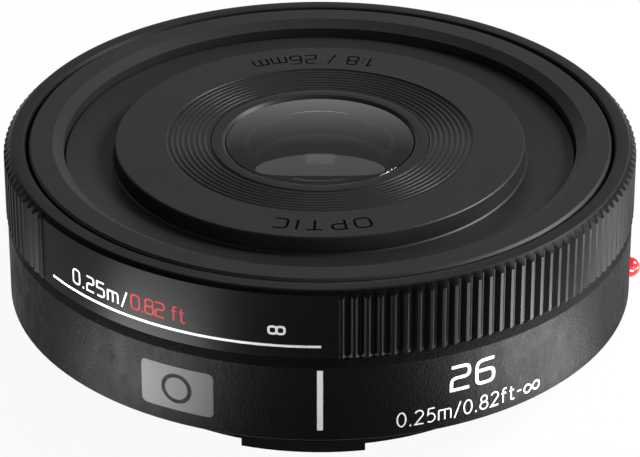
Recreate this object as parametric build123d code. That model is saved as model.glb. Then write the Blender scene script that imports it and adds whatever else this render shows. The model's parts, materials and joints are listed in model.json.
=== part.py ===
from build123d import *
import math
import os

# A slim full-frame prime lens with manual focus and a fixed aperture.
# Millimetres. The origin is the centre of the mount's seating face, and +Z points at the subject.
# An azimuth is counted in degrees from the front of the barrel (-Y) towards +X.
# The lens is drawn focused at infinity.

# ---- driving dimensions -------------------------------------------------------------------

# Whole lens
BARREL_RADIUS = 33.5
RING_HEIGHT = 7.75            # focus ring, from its lower edge to the front plane
FOCUS_TRAVEL = 3.5            # how far the lens unit comes forward
FOCUS_THROW = 55.0            # turn of the focus ring, in degrees

# Clearances
SLIDE_FIT = 0.05              # sliding and turning fits, on the radius
THREAD_FIT = 0.03             # a screw in its hole, on the radius
SEAT_GAP = 0.05               # between faces that may turn or slide
RING_GAP = 0.15               # shadow gap between the barrel and the focus ring
STOP_SLACK = 0.2              # spare turn at each end of the stop slot, in degrees

# Bayonet mount
SLEEVE_BORE = 22.9
SLEEVE_RADIUS = 24.4
SLEEVE_DEPTH = 5.55
FLANGE_RADIUS = 31.0
FLANGE_THICKNESS = 1.6
FLANGE_EDGE = 0.2
RELIEF_WIDTH = 1.6
RELIEF_DEPTH = 0.3
LUG_RADIUS = 25.7
LUG_THICKNESS = 1.35
LUGS = ((-4.0, 29.0), (86.0, 29.0), (176.0, 33.0), (266.0, 29.0))   # azimuth and width
LOCK_PIN_RADIUS = 1.1
LOCK_PIN_DEPTH = 1.3
LOCK_PIN_AZIMUTH = 200.0
MOUNT_SCREW_CIRCLE = 28.3
MOUNT_SCREW_AZIMUTHS = (45.0, 135.0, 225.0, 315.0)

# Rear baffle, held on a ledge inside the sleeve
LEDGE_BORE = 19.2
LEDGE_THICKNESS = 1.0
BAFFLE_THICKNESS = 0.8
BAFFLE_INSET = 0.95
BAFFLE_WINDOW = (26.0, 18.0)
WINDOW_CORNER = 3.0
BAFFLE_SCREW_CIRCLE = 20.9
BAFFLE_SCREW_AZIMUTHS = (0.0, 120.0, 240.0)

# Outer barrel
BARREL_WALL = 1.6
BARREL_FLOOR = 1.1
BARREL_REVEAL = 0.75          # the mount flange stands this far behind the barrel
BARREL_REAR_EDGE = 0.15
BARREL_BEVEL = 0.35
BARREL_BEVEL_HEIGHT = 0.9
FLOOR_GAP = 1.35              # round the lens cell
BOSS_RADIUS = 2.0
BOSS_HEIGHT = 2.5
BEAD_RADIUS = 1.1
BEAD_AZIMUTH = 88.0
BEAD_HEIGHT = 2.6
BEAD_PROUD = 0.05             # the bead's centre stands this far outside the barrel's surface
BEAD_POCKET_GAP = 0.2
BEAD_STEM_RADIUS = 0.6
BEAD_STEM_END = 0.15          # from the stem's end to the wall's inner face

# Guide tube and cam ring
CELL_RADIUS = 14.15
GUIDE_WALL = 2.6
CAM_GAP = 0.1
CAM_WALL = 2.0
GUIDE_FLANGE_WIDTH = 3.4
GUIDE_FLANGE_THICKNESS = 0.85
GUIDE_SCREW_AZIMUTHS = (30.0, 150.0, 270.0)
LOWER_WASHER = 0.2
UPPER_WASHER = 0.3
CAM_EDGE = 0.45               # metal below each cam slot
CAM_BRIDGE = 0.15             # metal between a cam slot and the web
WEB_THICKNESS = 0.9
WEB_RISE = 0.3                # the web's top stands this far above the barrel's edge
CAM_NECK = 1.1
STOP_PIN_RADIUS = 0.9
STOP_PIN_CIRCLE = 24.5
STOP_PIN_AZIMUTH = 100.0

# Cam followers
FOLLOWER_AZIMUTHS = (60.0, 180.0, 300.0)
FOLLOWER_SHANK = 0.48
FOLLOWER_HEAD_HEIGHT = 0.35
ROLLER_RADIUS = 0.8
ROLLER_BORE_FIT = 0.02
ROLLER_GAP = 0.15             # between the roller and the cell's skirt
SLOT_SPARE = 0.2              # the straight slots run this far past the travel

# Focus ring
CREST_RISE = 0.15             # the ribs stand this far outside the barrel
RIB_POSITIONS = 160
RIBS = 133                    # the other positions are the smooth scale area
FIRST_RIB = 3.3               # azimuth of the first rib
RIB_DEPTH = 0.45
RIB_CREST = 0.34
RIB_FLANK = 0.42
SCALE_DROP = 0.3              # the scale area lies this far inside the ribs
RING_BORE_INSET = 2.25
RING_BEVEL = 0.8
RING_INNER_BEVEL = 0.31
RING_REAR_EDGE = 0.2
LIP_WIDTH = 2.75
LIP_THICKNESS = 1.0
LIP_SCREW_INSET = 1.05
RING_SCREW_AZIMUTHS = (20.0, 140.0, 260.0)
WEB_EDGE_GAP = 0.65

# Front bezel
BEZEL_GAP = 0.25
BEZEL_BORE = 27.3
BEZEL_WEB = 1.0
BEZEL_EDGE = 0.25
BEZEL_BEVEL_WIDTH = 1.16
BEZEL_BEVEL_DEPTH = 0.67
BEZEL_WEB_GAP = 0.4           # round the lens cell
BEZEL_SCREW_INSET = 1.55
BEZEL_SCREW_AZIMUTHS = (0.0, 120.0, 240.0)

# Front cover
COVER_DROP = 0.33             # its disc lies this far behind the front plane
DISC_RADIUS = 21.8
DISC_EDGE = 0.12
WALL_DRAFT = 0.2
WALL_FOOT = 0.15              # bevel where the disc's wall meets the trough
TROUGH_DEPTH = 1.92
TROUGH_RISE = 0.55
TROUGH_RIM = 0.15
COVER_WALL = 0.8
SKIRT_WALL = 1.0
SKIRT_GAP = 0.3               # above the bezel's web
COVER_RIM_GAP = 0.1
COVER_STEP = 0.5              # round the cell's flange
FELT_HEIGHT = 0.45
FELT_DEPTH = 0.5
FELT_START = 0.1              # above the skirt's lower edge
COVER_LEDGE_WIDTH = 0.55
COVER_LEDGE_THICKNESS = 0.2
GROOVES = 8
GROOVE_PITCH = 0.59
GROOVE_DEPTH = 0.13
GROOVE_ZONE_STEP = 0.07
GROOVE_ZONE_FALL = 0.1
RETAINER_DROP = 0.17

# Lens cell
CELL_FLANGE_RADIUS = 20.5
CELL_FLANGE_THICKNESS = 2.0
CELL_FLANGE_GAP = 0.4
CELL_SKIRT_WALL = 1.55
CELL_SKIRT_GAP = 0.1          # the skirt ends this far behind the guide tube
CELL_TUBE_WALL = 0.85
CELL_DIAPHRAGM_BORE = 6.6
CELL_DIAPHRAGM = 0.7
CELL_ROOF = 2.2               # between the skirt and the inner tube
NECK_WALL = 0.5
NECK_GAP = 0.05
TAPE_THICKNESS = 0.15
TAPE_INNER = 15.0
TAPE_OUTER = 20.0

# Front retaining ring
RETAINER_FLANGE = 0.6
RETAINER_SKIRT_WALL = 0.5
RETAINER_BEVEL = 0.35
RETAINER_COVER_GAP = 0.1

# Glass, counted from the front. A curvature is positive where the face bulges outwards.
GLASS_FIT = 0.05
FRONT_GLASS_RADIUS = 10.5
FRONT_GLASS_FACE = 10.0
FRONT_GLASS_CURVE = 90.0
FRONT_GLASS_RISE = 0.39       # edge of the front face above its shoulder
FRONT_GLASS_REAR_CURVE = -22.0
FRONT_GLASS_REAR_CLEAR = 8.0
SECOND_GLASS_RADIUS = 7.5
SECOND_GLASS_EDGE = 1.4
SECOND_GLASS_CLEAR = (6.4, 6.8)
SECOND_GLASS_CURVES = (60.0, 24.0)
INNER_GLASS_RADIUS = 7.0
INNER_GLASS_CLEAR = 6.2
THIRD_GLASS_EDGE = 1.9
THIRD_GLASS_CURVES = (-20.0, -26.0)
FOURTH_GLASS_EDGE = 2.4
FOURTH_GLASS_CURVES = (30.0, 20.0)
REAR_GLASS_RADIUS = 9.0
REAR_GLASS_CLEAR = 7.6
REAR_GLASS_EDGE = 2.2
REAR_GLASS_CURVES = (28.0, -45.0)
STOP_THICKNESS = 0.3
STOP_HOLE = 1.6
SPACER_WALL = 0.6
FRONT_SPACER = 1.4
STOP_SPACER = 0.3
MIDDLE_SPACER = 0.4
REAR_SPACER = 1.0
REAR_RETAINER = 1.2
REAR_SHOULDER_GAP = 0.05

# Screws: head radius, shank radius and length
MOUNT_SCREW = (1.6, 0.8, 4.6)
BAFFLE_SCREW = (1.0, 0.5, 1.6)
GUIDE_SCREW = (1.2, 0.6, 1.8)
RING_SCREW = (0.9, 0.5, 1.6)
BEZEL_SCREW = (1.0, 0.55, 3.2)
SCREW_RECESS = 0.05           # the heads lie this far below the face
SCREW_HEAD_RIM = 0.1
SCREW_SLOT_WIDTH = 0.22
SCREW_SLOT_DEPTH = 0.3
SCREW_SLOT_SPAN = 0.75        # of the head's radius

# ---- heights along the axis ---------------------------------------------------------------

floor_top = FLANGE_THICKNESS + BARREL_FLOOR
guide_flange_top = floor_top + GUIDE_FLANGE_THICKNESS
washer_top = guide_flange_top + LOWER_WASHER
cam_low = washer_top + SEAT_GAP
slot_half = ROLLER_RADIUS + SLIDE_FIT
follower_height = cam_low + CAM_EDGE + slot_half
web_low = follower_height + FOCUS_TRAVEL + slot_half + CAM_BRIDGE
web_top = web_low + WEB_THICKNESS
barrel_top = web_top - WEB_RISE
ring_low = barrel_top + RING_GAP
front_plane = ring_low + RING_HEIGHT
lip_top = web_top + LIP_THICKNESS
cam_top = web_top + CAM_NECK
upper_washer_low = cam_top + SEAT_GAP
bezel_web_low = upper_washer_low + UPPER_WASHER + SEAT_GAP
bezel_web_top = bezel_web_low + BEZEL_WEB
cell_flange_low = bezel_web_top + CELL_FLANGE_GAP
cell_flange_top = cell_flange_low + CELL_FLANGE_THICKNESS
cover_low = cell_flange_top + TAPE_THICKNESS
cover_ledge_top = cover_low + COVER_LEDGE_THICKNESS
cover_top = front_plane - COVER_DROP
trough_low = cover_top - TROUGH_DEPTH
trough_edge = trough_low + TROUGH_RISE
skirt_low = bezel_web_top + SKIRT_GAP
felt_low = skirt_low + FELT_START
groove_zone_top = cover_top - GROOVE_ZONE_STEP
retainer_top = cover_top - RETAINER_DROP
retainer_low = retainer_top - RETAINER_FLANGE
baffle_low = -SLEEVE_DEPTH + BAFFLE_INSET
ledge_low = baffle_low + BAFFLE_THICKNESS
ledge_top = ledge_low + LEDGE_THICKNESS

# The glass and its spacers, from the front seat down to the rear retaining ring
second_glass_high = cell_flange_top - FRONT_SPACER
second_glass_low = second_glass_high - SECOND_GLASS_EDGE
stop_high = second_glass_low - CELL_DIAPHRAGM
stop_low = stop_high - STOP_THICKNESS
third_glass_high = stop_low - STOP_SPACER
third_glass_low = third_glass_high - THIRD_GLASS_EDGE
fourth_glass_high = third_glass_low - MIDDLE_SPACER
fourth_glass_low = fourth_glass_high - FOURTH_GLASS_EDGE
rear_glass_high = fourth_glass_low - REAR_SPACER
rear_glass_low = rear_glass_high - REAR_GLASS_EDGE
cell_rear = rear_glass_low - REAR_RETAINER

# ---- radii --------------------------------------------------------------------------------

guide_bore = CELL_RADIUS + SLIDE_FIT
guide_radius = guide_bore + GUIDE_WALL
cam_bore = guide_radius + CAM_GAP
cam_radius = cam_bore + CAM_WALL
guide_flange_radius = cam_radius + GUIDE_FLANGE_WIDTH
guide_screw_circle = cam_radius + GUIDE_FLANGE_WIDTH / 2
floor_bore = CELL_RADIUS + FLOOR_GAP
barrel_bore = BARREL_RADIUS - BARREL_WALL
crest_radius = BARREL_RADIUS + CREST_RISE
rib_floor_radius = crest_radius - RIB_DEPTH
scale_radius = crest_radius - SCALE_DROP
ring_bore = BARREL_RADIUS - RING_BORE_INSET
lip_bore = ring_bore - LIP_WIDTH
web_radius = ring_bore - WEB_EDGE_GAP
ring_screw_circle = lip_bore + LIP_SCREW_INSET
bezel_radius = ring_bore - BEZEL_GAP
bezel_web_bore = guide_bore + BEZEL_WEB_GAP
bezel_screw_circle = guide_bore + BEZEL_SCREW_INSET
trough_radius = BEZEL_BORE - COVER_RIM_GAP
skirt_bore = trough_radius - SKIRT_WALL
neck_bore = FRONT_GLASS_RADIUS + GLASS_FIT
neck_radius = neck_bore + NECK_WALL
retainer_skirt_bore = neck_radius + SLIDE_FIT
retainer_radius = retainer_skirt_bore + RETAINER_SKIRT_WALL
cover_bore = retainer_radius + RETAINER_COVER_GAP
cover_ledge_bore = cover_bore - COVER_LEDGE_WIDTH
groove_zone_radius = cover_bore + GROOVES * GROOVE_PITCH
second_glass_bore = SECOND_GLASS_RADIUS + GLASS_FIT
inner_glass_bore = INNER_GLASS_RADIUS + GLASS_FIT
rear_glass_bore = REAR_GLASS_RADIUS + GLASS_FIT
cell_tube_radius = rear_glass_bore + CELL_TUBE_WALL


# ---- helpers ------------------------------------------------------------------------------

def run(*corners):
    """Straight runs through (radius, height) corners, in the XZ plane."""
    return Polyline(*[(radius, 0, height) for radius, height in corners])


def bow(*points):
    """Arc through three (radius, height) points, in the XZ plane."""
    return ThreePointArc(*[(radius, 0, height) for radius, height in points])


def section(*lines):
    """Face inside a closed outline of runs and bows."""
    return make_face([edge for line in lines for edge in line.edges()])


def lathe(*corners):
    """Solid turned about Z from a closed outline of (radius, height) corners."""
    return revolve(section(run(*corners, corners[0])), Axis.Z)


def ring(bore, radius, low, high):
    return lathe((bore, low), (radius, low), (radius, high), (bore, high))


def turned(azimuth, shape):
    """A shape drawn at the front, carried round Z to an azimuth."""
    return Rot(0, 0, azimuth) * shape


def on_circle(radius, azimuth, height):
    return Rot(0, 0, azimuth) * Pos(0, -radius, height)


def rod(radius, start, end, height, bore=0.0):
    """Rod at the front that lies along the lens's radius, between two distances from Z."""
    face = Circle(radius)
    if bore:
        face -= Circle(bore)
    return extrude(Plane.XZ.offset(start) * Pos(0, height) * face, amount=end - start)


def sag(curve, radius):
    """Depth of a spherical face at a radius from its vertex, with the curvature's sign."""
    size = abs(curve)
    return math.copysign(size - math.sqrt(size ** 2 - radius ** 2), curve)


def glass(radius, low, high, clears, curves):
    """Lens element with flat rims. Clear radii and curvatures are rear first, then front."""
    rear_clear, front_clear = clears
    rear_curve, front_curve = curves
    rear_vertex = low - sag(rear_curve, rear_clear)
    front_vertex = high + sag(front_curve, front_clear)
    rear_middle = rear_vertex + sag(rear_curve, rear_clear / 2)
    front_middle = front_vertex - sag(front_curve, front_clear / 2)
    face = section(
        bow((0, front_vertex), (front_clear / 2, front_middle), (front_clear, high)),
        run((front_clear, high), (radius, high), (radius, low), (rear_clear, low)),
        bow((rear_clear, low), (rear_clear / 2, rear_middle), (0, rear_vertex)),
        run((0, rear_vertex), (0, front_vertex)),
    )
    return revolve(face, Axis.Z)


def screw_body(size, head_top, fit=0.0, spare=0.0):
    """Countersunk screw shape about Z, pointing down from a head whose cone starts at the rim."""
    head_radius, shank_radius, length = size
    rim_low = -SCREW_RECESS - SCREW_HEAD_RIM
    cone_low = rim_low - (head_radius - shank_radius)
    tip = -SCREW_RECESS - length - spare
    return lathe(
        (0, head_top),
        (head_radius + fit, head_top),
        (head_radius + fit, rim_low),
        (shank_radius + fit, cone_low),
        (shank_radius + fit, tip),
        (0, tip),
    )


def screw(size):
    head_radius = size[0]
    span = 2 * SCREW_SLOT_SPAN * head_radius
    slot = Box(span, SCREW_SLOT_WIDTH, 2 * SCREW_SLOT_DEPTH)
    top = Pos(0, 0, -SCREW_RECESS)
    return screw_body(size, -SCREW_RECESS) - top * slot - top * Rot(0, 0, 90) * slot


def screw_places(circle, azimuths, height, facing=1):
    """Places for screws whose heads face forwards, or to the rear with facing=-1."""
    flip = Rot(0, 0, 0) if facing > 0 else Rot(180, 0, 0)
    return [on_circle(circle, azimuth, height) * flip for azimuth in azimuths]


def screws(size, places):
    return Compound([(place * screw(size)).solid() for place in places])


def drilled(shape, size, places):
    """A piece with the screws' holes cut into it, open above their heads."""
    hole = screw_body(size, SCREW_RECESS + SEAT_GAP, THREAD_FIT, SEAT_GAP)
    return shape - [place * hole for place in places]


# ---- screw places -------------------------------------------------------------------------

mount_screw_places = screw_places(MOUNT_SCREW_CIRCLE, MOUNT_SCREW_AZIMUTHS, 0, facing=-1)
baffle_screw_places = screw_places(BAFFLE_SCREW_CIRCLE, BAFFLE_SCREW_AZIMUTHS, baffle_low, facing=-1)
guide_screw_places = screw_places(guide_screw_circle, GUIDE_SCREW_AZIMUTHS, guide_flange_top)
ring_screw_places = screw_places(ring_screw_circle, RING_SCREW_AZIMUTHS, lip_top)
bezel_screw_places = screw_places(bezel_screw_circle, BEZEL_SCREW_AZIMUTHS, bezel_web_top)


# ---- fixed parts --------------------------------------------------------------------------

def bayonet_mount():
    """Seating flange with a sleeve, four lugs, a ledge for the baffle and the lock pin's hole."""
    body = lathe(
        (SLEEVE_BORE, -SLEEVE_DEPTH),
        (SLEEVE_RADIUS, -SLEEVE_DEPTH),
        (SLEEVE_RADIUS, RELIEF_DEPTH),
        (SLEEVE_RADIUS + RELIEF_WIDTH, RELIEF_DEPTH),
        (SLEEVE_RADIUS + RELIEF_WIDTH, 0),
        (FLANGE_RADIUS - FLANGE_EDGE, 0),
        (FLANGE_RADIUS, FLANGE_EDGE),
        (FLANGE_RADIUS, FLANGE_THICKNESS),
        (SLEEVE_BORE, FLANGE_THICKNESS),
        (SLEEVE_BORE, ledge_top),
        (LEDGE_BORE, ledge_top),
        (LEDGE_BORE, ledge_low),
        (SLEEVE_BORE, ledge_low),
    )
    lug_low = -SLEEVE_DEPTH
    lug_high = lug_low + LUG_THICKNESS
    lug_root = (SLEEVE_BORE + SLEEVE_RADIUS) / 2
    lug_corners = ((lug_root, lug_low), (LUG_RADIUS, lug_low), (LUG_RADIUS, lug_high), (lug_root, lug_high))
    lug_face = section(run(*lug_corners, lug_corners[0]))
    for azimuth, width in LUGS:
        start = azimuth - width / 2 - 90
        body += turned(start, revolve(lug_face, Axis.Z, revolution_arc=width))
    pin_hole = Cylinder(LOCK_PIN_RADIUS, LOCK_PIN_DEPTH, align=(Align.CENTER, Align.CENTER, Align.MIN))
    body -= on_circle(MOUNT_SCREW_CIRCLE, LOCK_PIN_AZIMUTH, 0) * pin_hole
    body = drilled(body, MOUNT_SCREW, mount_screw_places)
    return drilled(body, BAFFLE_SCREW, baffle_screw_places)


def outer_barrel():
    """Shell with a floor, bosses for the mount screws and a pocket for the bead."""
    body = lathe(
        (FLANGE_RADIUS + RING_GAP, BARREL_REVEAL),
        (BARREL_RADIUS - BARREL_REAR_EDGE, BARREL_REVEAL),
        (BARREL_RADIUS, BARREL_REVEAL + BARREL_REAR_EDGE),
        (BARREL_RADIUS, barrel_top - BARREL_BEVEL_HEIGHT),
        (BARREL_RADIUS - BARREL_BEVEL, barrel_top),
        (barrel_bore, barrel_top),
        (barrel_bore, floor_top),
        (floor_bore, floor_top),
        (floor_bore, FLANGE_THICKNESS),
        (FLANGE_RADIUS + RING_GAP, FLANGE_THICKNESS),
    )
    boss = Cylinder(BOSS_RADIUS, BOSS_HEIGHT, align=(Align.CENTER, Align.CENTER, Align.MIN))
    for azimuth in MOUNT_SCREW_AZIMUTHS:
        body += on_circle(MOUNT_SCREW_CIRCLE, azimuth, floor_top) * boss
    pocket = on_circle(BARREL_RADIUS + BEAD_PROUD, BEAD_AZIMUTH, BEAD_HEIGHT)
    body -= pocket * Sphere(BEAD_RADIUS + BEAD_POCKET_GAP)
    stem_end = barrel_bore + BEAD_STEM_END - SEAT_GAP
    body -= turned(BEAD_AZIMUTH, rod(BEAD_STEM_RADIUS + THREAD_FIT, stem_end, BARREL_RADIUS, BEAD_HEIGHT))
    body = drilled(body, MOUNT_SCREW, mount_screw_places)
    return drilled(body, GUIDE_SCREW, guide_screw_places)


def index_bead():
    """Half-sunk ball on a stem, which shows how to turn the lens onto a camera."""
    centre = BARREL_RADIUS + BEAD_PROUD
    bead = Pos(0, -centre, BEAD_HEIGHT) * Sphere(BEAD_RADIUS)
    bead += rod(BEAD_STEM_RADIUS, barrel_bore + BEAD_STEM_END, centre, BEAD_HEIGHT)
    return turned(BEAD_AZIMUTH, bead)


def rear_baffle():
    """Thin disc with a rounded window, screwed behind the ledge."""
    disc = ring(0.0, SLEEVE_BORE - SLIDE_FIT, baffle_low, ledge_low)
    outline = Pos(0, 0, baffle_low) * RectangleRounded(*BAFFLE_WINDOW, WINDOW_CORNER)
    window = extrude(outline, BAFFLE_THICKNESS)
    return drilled(disc - window, BAFFLE_SCREW, baffle_screw_places)


def guide_tube():
    """Fixed tube whose straight slots stop the lens cell from turning."""
    body = lathe(
        (guide_bore, floor_top),
        (guide_flange_radius, floor_top),
        (guide_flange_radius, guide_flange_top),
        (guide_radius, guide_flange_top),
        (guide_radius, bezel_web_low),
        (guide_bore, bezel_web_low),
    )
    slot_run = FOCUS_TRAVEL + 2 * SLOT_SPARE
    slot_middle = follower_height + FOCUS_TRAVEL / 2
    outline = Pos(0, slot_middle) * Rot(0, 0, 90) * SlotCenterToCenter(slot_run, 2 * slot_half)
    slot = extrude(Plane.XZ * outline, amount=cam_bore)
    body -= [turned(azimuth, slot) for azimuth in FOLLOWER_AZIMUTHS]
    body = drilled(body, GUIDE_SCREW, guide_screw_places)
    return drilled(body, BEZEL_SCREW, bezel_screw_places)


def front_bezel():
    """Flat rim inside the focus ring, carried by a web on the guide tube."""
    body = lathe(
        (bezel_web_bore, bezel_web_low),
        (bezel_radius, bezel_web_low),
        (bezel_radius, front_plane - BEZEL_EDGE),
        (bezel_radius - BEZEL_EDGE, front_plane),
        (BEZEL_BORE + BEZEL_BEVEL_WIDTH, front_plane),
        (BEZEL_BORE, front_plane - BEZEL_BEVEL_DEPTH),
        (BEZEL_BORE, bezel_web_top),
        (bezel_web_bore, bezel_web_top),
    )
    pin_hole = ring(0.0, STOP_PIN_RADIUS + THREAD_FIT, bezel_web_low, bezel_web_top)
    body -= on_circle(STOP_PIN_CIRCLE, STOP_PIN_AZIMUTH, 0) * pin_hole
    return drilled(body, BEZEL_SCREW, bezel_screw_places)


def stop_pin():
    """Pin from the bezel's web down through the cam ring's stop slot."""
    pin = ring(0.0, STOP_PIN_RADIUS, web_low - WEB_RISE, bezel_web_top)
    return on_circle(STOP_PIN_CIRCLE, STOP_PIN_AZIMUTH, 0) * pin


# ---- parts that turn with the focus ring --------------------------------------------------

def ribbed_outline():
    """Outline of the focus ring's outside: tapered ribs, and a smooth arc for the scale."""
    pitch = 360 / RIB_POSITIONS
    crest = math.degrees(RIB_CREST / crest_radius)
    flank = math.degrees(RIB_FLANK / crest_radius)

    def point(radius, azimuth):
        angle = math.radians(azimuth)
        return (radius * math.sin(angle), -radius * math.cos(angle))

    points = []
    for rib in range(RIBS):
        left = FIRST_RIB + rib * pitch
        points.append(point(crest_radius, left))
        points.append(point(crest_radius, left + crest))
        if rib < RIBS - 1:
            points.append(point(rib_floor_radius, left + crest + flank))
            points.append(point(rib_floor_radius, left + pitch - flank))
    scale_start = FIRST_RIB + (RIBS - 1) * pitch + crest
    scale_end = FIRST_RIB + 360
    ribs = Polyline(point(scale_radius, scale_end), *points, point(scale_radius, scale_start))
    scale = ThreePointArc(
        point(scale_radius, scale_start),
        point(scale_radius, (scale_start + scale_end) / 2),
        point(scale_radius, scale_end),
    )
    return make_face([*ribs.edges(), scale.edge()])


def focus_ring():
    """Hand ring with a lip that is screwed to the cam ring's web."""
    body = lathe(
        (ring_bore, ring_low),
        (crest_radius - RING_REAR_EDGE, ring_low),
        (crest_radius, ring_low + RING_REAR_EDGE),
        (crest_radius, front_plane - RING_BEVEL),
        (crest_radius - RING_BEVEL, front_plane),
        (ring_bore + RING_INNER_BEVEL, front_plane),
        (ring_bore, front_plane - RING_INNER_BEVEL),
        (ring_bore, lip_top),
        (lip_bore, lip_top),
        (lip_bore, web_top),
        (ring_bore, web_top),
    )
    outside = extrude(Pos(0, 0, barrel_top) * ribbed_outline(), RING_HEIGHT + 2 * RING_GAP)
    return drilled(body & outside, RING_SCREW, ring_screw_places)


def cam_slot_cutters():
    """Cutters for one helical slot that starts at the front and climbs towards -X."""
    wall_middle = (cam_bore + cam_radius) / 2
    path = Helix(
        pitch=FOCUS_TRAVEL * 360 / FOCUS_THROW,
        height=FOCUS_TRAVEL,
        radius=wall_middle,
        center=(0, 0, follower_height),
        lefthand=True,
    )
    start = Plane(origin=path @ 0, x_dir=(1, 0, 0), z_dir=path % 0)
    groove = sweep(start * Rectangle(2 * CAM_WALL, 2 * slot_half), path=path, is_frenet=True)
    inside = cam_bore - CAM_WALL / 2
    outside = cam_radius + CAM_WALL / 2
    low_end = rod(slot_half, inside, outside, follower_height)
    high_end = rod(slot_half, inside, outside, follower_height + FOCUS_TRAVEL)
    return [turned(-90, groove), low_end, turned(-FOCUS_THROW, high_end)]


def cam_ring():
    """Tube with the cam slots, and a web with the stop slot that carries the focus ring."""
    body = lathe(
        (cam_bore, cam_low),
        (cam_radius, cam_low),
        (cam_radius, web_low),
        (web_radius, web_low),
        (web_radius, web_top),
        (cam_radius, web_top),
        (cam_radius, cam_top),
        (cam_bore, cam_top),
    )
    for azimuth in FOLLOWER_AZIMUTHS:
        for cutter in cam_slot_cutters():
            body -= turned(azimuth, cutter)
    slot_turn = FOCUS_THROW + 2 * STOP_SLACK
    slot_start = STOP_PIN_AZIMUTH + STOP_SLACK - slot_turn - 90
    slot_line = CenterArc((0, 0), STOP_PIN_CIRCLE, slot_start, slot_turn)
    slot = SlotArc(slot_line, 2 * (STOP_PIN_RADIUS + CAM_GAP))
    body -= extrude(Pos(0, 0, web_low) * slot, WEB_THICKNESS)
    return drilled(body, RING_SCREW, ring_screw_places)


# ---- parts that slide with the lens unit --------------------------------------------------

def lens_cell():
    """Sliding cell: a guided skirt, a flange for the cover, and a stepped bore for the glass."""
    diaphragm_low = stop_high
    diaphragm_high = second_glass_low
    shoulder = rear_glass_high + REAR_SHOULDER_GAP
    skirt_inside = CELL_RADIUS - CELL_SKIRT_WALL
    skirt_end = floor_top - CELL_SKIRT_GAP
    roof = cell_flange_top - CELL_ROOF
    body = lathe(
        (neck_bore, retainer_low - NECK_GAP),
        (neck_radius, retainer_low - NECK_GAP),
        (neck_radius, cell_flange_top),
        (CELL_FLANGE_RADIUS, cell_flange_top),
        (CELL_FLANGE_RADIUS, cell_flange_low),
        (CELL_RADIUS, cell_flange_low),
        (CELL_RADIUS, skirt_end),
        (skirt_inside, skirt_end),
        (skirt_inside, roof),
        (cell_tube_radius, roof),
        (cell_tube_radius, cell_rear),
        (rear_glass_bore, cell_rear),
        (rear_glass_bore, shoulder),
        (inner_glass_bore, shoulder),
        (inner_glass_bore, diaphragm_low),
        (CELL_DIAPHRAGM_BORE, diaphragm_low),
        (CELL_DIAPHRAGM_BORE, diaphragm_high),
        (second_glass_bore, diaphragm_high),
        (second_glass_bore, cell_flange_top),
        (neck_bore, cell_flange_top),
    )
    hole = rod(FOLLOWER_SHANK + THREAD_FIT, skirt_inside - NECK_WALL, guide_bore, follower_height)
    return body - [turned(azimuth, hole) for azimuth in FOLLOWER_AZIMUTHS]


def followers_and_rollers():
    """Screws in the cell's skirt, and the rollers on them that run in both sets of slots."""
    follower_end = cam_radius - SEAT_GAP
    head_start = follower_end - FOLLOWER_HEAD_HEIGHT
    shank_start = CELL_RADIUS - CELL_SKIRT_WALL
    follower = rod(FOLLOWER_SHANK, shank_start, head_start, follower_height)
    follower += rod(ROLLER_RADIUS, head_start, follower_end, follower_height)
    roller_bore = FOLLOWER_SHANK + ROLLER_BORE_FIT
    roller_start = CELL_RADIUS + ROLLER_GAP
    roller_end = head_start - SEAT_GAP
    roller = rod(ROLLER_RADIUS, roller_start, roller_end, follower_height, roller_bore)
    return [
        Compound([turned(azimuth, shape).solid() for azimuth in FOLLOWER_AZIMUTHS])
        for shape in (follower, roller)
    ]


def front_cover():
    """Disc with turned grooves, a sunken trough round it, and a skirt that fills the bezel."""
    groove_inner = groove_zone_top - GROOVE_ZONE_FALL
    rise = GROOVE_ZONE_FALL / GROOVES
    grooves = []
    for groove in range(GROOVES):
        left = (cover_bore + groove * GROOVE_PITCH, groove_inner + groove * rise)
        right = (left[0] + GROOVE_PITCH, left[1] + rise)
        middle = ((left[0] + right[0]) / 2, (left[1] + right[1]) / 2 - GROOVE_DEPTH)
        grooves.append(bow(left, middle, right))
    wall_radius = DISC_RADIUS + WALL_DRAFT
    step_radius = CELL_FLANGE_RADIUS + COVER_STEP
    felt_top = felt_low + FELT_HEIGHT
    under_trough = trough_low - COVER_WALL
    outline = run(
        (groove_zone_radius, groove_zone_top),
        (groove_zone_radius, cover_top),
        (DISC_RADIUS - DISC_EDGE, cover_top),
        (DISC_RADIUS, cover_top - DISC_EDGE),
        (wall_radius, trough_low + WALL_FOOT),
        (wall_radius + WALL_FOOT, trough_low),
        (trough_radius - TROUGH_RIM, trough_edge),
        (trough_radius, trough_edge - TROUGH_RIM),
        (trough_radius, felt_top),
        (trough_radius - FELT_DEPTH, felt_top),
        (trough_radius - FELT_DEPTH, felt_low),
        (trough_radius, felt_low),
        (trough_radius, skirt_low),
        (skirt_bore, skirt_low),
        (skirt_bore, under_trough),
        (step_radius, under_trough),
        (step_radius, cover_low),
        (cover_ledge_bore, cover_low),
        (cover_ledge_bore, cover_ledge_top),
        (cover_bore, cover_ledge_top),
        (cover_bore, groove_inner),
    )
    return revolve(section(*grooves, outline), Axis.Z)


def front_retainer():
    """Ring screwed onto the cell's neck; it holds the front glass and the cover's ledge."""
    face_bore = FRONT_GLASS_FACE + GLASS_FIT
    return lathe(
        (face_bore, retainer_low),
        (retainer_skirt_bore, retainer_low),
        (retainer_skirt_bore, cover_ledge_top),
        (retainer_radius, cover_ledge_top),
        (retainer_radius, retainer_top),
        (face_bore + RETAINER_BEVEL, retainer_top),
        (face_bore, retainer_top - RETAINER_BEVEL),
    )


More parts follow.
